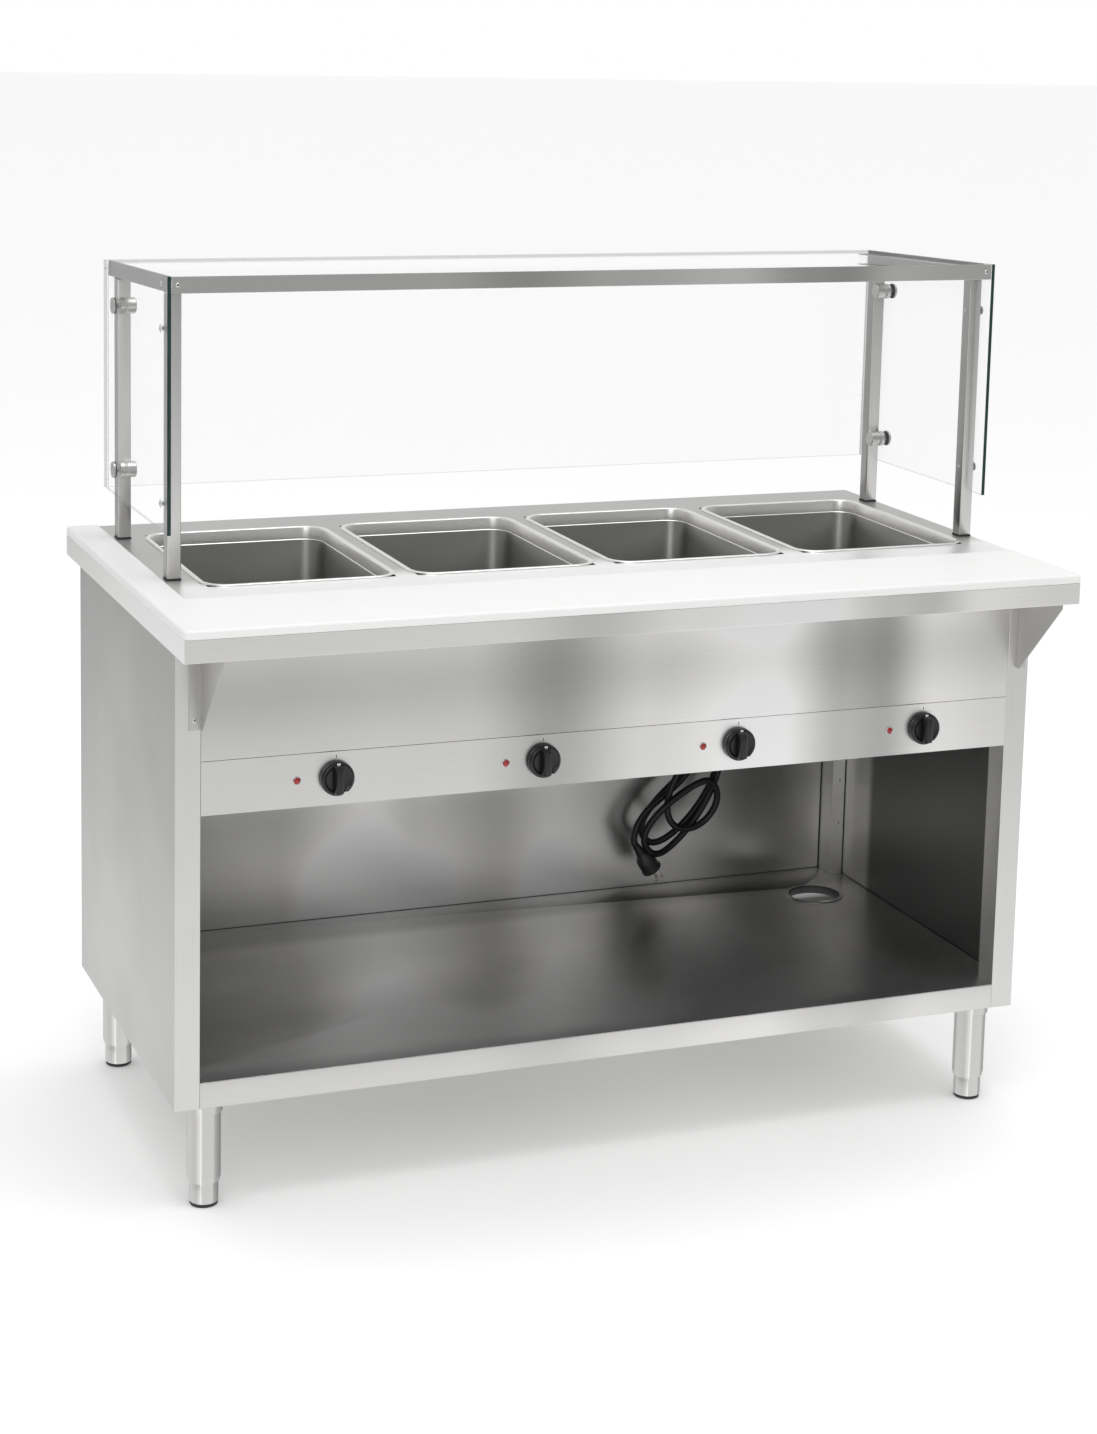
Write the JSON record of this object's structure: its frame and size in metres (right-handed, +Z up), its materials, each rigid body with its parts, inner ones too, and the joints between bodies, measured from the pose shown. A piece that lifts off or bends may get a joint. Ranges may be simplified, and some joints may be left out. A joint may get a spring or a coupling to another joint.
{
  "type": "hot food table",
  "caption": "Electric hot food table: open steel cabinet on levelling legs, deep wells, control dials, cutting board counter and a glass food guard.",
  "frame": {"origin": "centre of the footprint, cord left out, on the floor", "axes": "+X along the counter to the server's right, +Y from the server to the customers, +Z up"},
  "size_m": [1.4386, 0.79, 1.37],
  "materials": {
    "satin_steel": "satin brushed stainless",
    "bright_steel": "polished stainless",
    "dark_steel": "heated stainless, darker",
    "board_white": "white cutting board",
    "clear_glass": "clear float glass",
    "black_rubber": "black rubber",
    "black_cord": "black cord jacket",
    "knob_black": "glossy black",
    "grey_plastic": "grey plastic",
    "lamp_red": "dark red lens",
    "nickel": "nickel plate",
    "gland_black": "black nylon",
    "heater": "sheathed heating element"
  },
  "bodies": {
    "cabinet": {"back_panel": "satin_steel", "board_front": "board_white", "board_left": "board_white", "bottom_shelf": "satin_steel", "control_panel": "satin_steel", "cord_gland": "gland_black", "cord_strap": "black_rubber", "counter_brackets": "satin_steel", "deck": "satin_steel", "front_fascia": "satin_steel", "glass_clamps": "bright_steel", "glass_left": "clear_glass", "glass_rear": "clear_glass", "glass_right": "clear_glass", "glass_top": "clear_glass", "guard_gaskets": "black_rubber", "guard_posts": "satin_steel", "heating_elements": "heater", "housing_floor": "satin_steel", "junction_box": "satin_steel", "leg_plates": "satin_steel", "legs": "satin_steel", "pilot_lamps": "lamp_red", "plug_blades": "nickel", "plug_body": "gland_black", "rear_post_left": "satin_steel", "rear_post_right": "satin_steel", "screws": "bright_steel", "shelf_port_ring": "bright_steel", "side_panel_left": "satin_steel", "side_panel_right": "satin_steel", "supply_cord_hank": "black_cord", "supply_cord_lead": "black_cord", "switch_bodies": "grey_plastic", "top_rail_front": "satin_steel", "top_rail_left": "satin_steel", "top_rail_right": "satin_steel", "trim_front": "satin_steel", "trim_left": "satin_steel", "well_1": "dark_steel", "well_2": "dark_steel", "well_3": "dark_steel", "well_4": "dark_steel"},
    "dial_1": {"knob_1": "knob_black", "control_shaft_1": "bright_steel"},
    "dial_2": {"knob_2": "knob_black", "control_shaft_2": "bright_steel"},
    "dial_3": {"knob_3": "knob_black", "control_shaft_3": "bright_steel"},
    "dial_4": {"knob_4": "knob_black", "control_shaft_4": "bright_steel"},
    "leveller_1": {"foot_1": "bright_steel", "foot_pad_1": "black_rubber"},
    "leveller_2": {"foot_2": "bright_steel", "foot_pad_2": "black_rubber"},
    "leveller_3": {"foot_3": "bright_steel", "foot_pad_3": "black_rubber"},
    "leveller_4": {"foot_4": "bright_steel", "foot_pad_4": "black_rubber"}
  },
  "joints": [
    {"name": "heat_dial_1", "type": "hinge", "parent": "cabinet", "child": "dial_1", "pos_m": [-0.45625, -0.267, 0.648], "axis": [0, 1, 0], "range_deg": [0, 300]},
    {"name": "heat_dial_2", "type": "hinge", "parent": "cabinet", "child": "dial_2", "pos_m": [-0.13125, -0.267, 0.648], "axis": [0, 1, 0], "range_deg": [0, 300]},
    {"name": "heat_dial_3", "type": "hinge", "parent": "cabinet", "child": "dial_3", "pos_m": [0.19375, -0.267, 0.648], "axis": [0, 1, 0], "range_deg": [0, 300]},
    {"name": "heat_dial_4", "type": "hinge", "parent": "cabinet", "child": "dial_4", "pos_m": [0.51875, -0.267, 0.648], "axis": [0, 1, 0], "range_deg": [0, 300]},
    {"name": "foot_level_1", "type": "slide", "parent": "cabinet", "child": "leveller_1", "axis": [0, 0, -1], "range_m": [0, 0.025]},
    {"name": "foot_level_2", "type": "slide", "parent": "cabinet", "child": "leveller_2", "axis": [0, 0, -1], "range_m": [0, 0.025]},
    {"name": "foot_level_3", "type": "slide", "parent": "cabinet", "child": "leveller_3", "axis": [0, 0, -1], "range_m": [0, 0.025]},
    {"name": "foot_level_4", "type": "slide", "parent": "cabinet", "child": "leveller_4", "axis": [0, 0, -1], "range_m": [0, 0.025]}
  ]
}
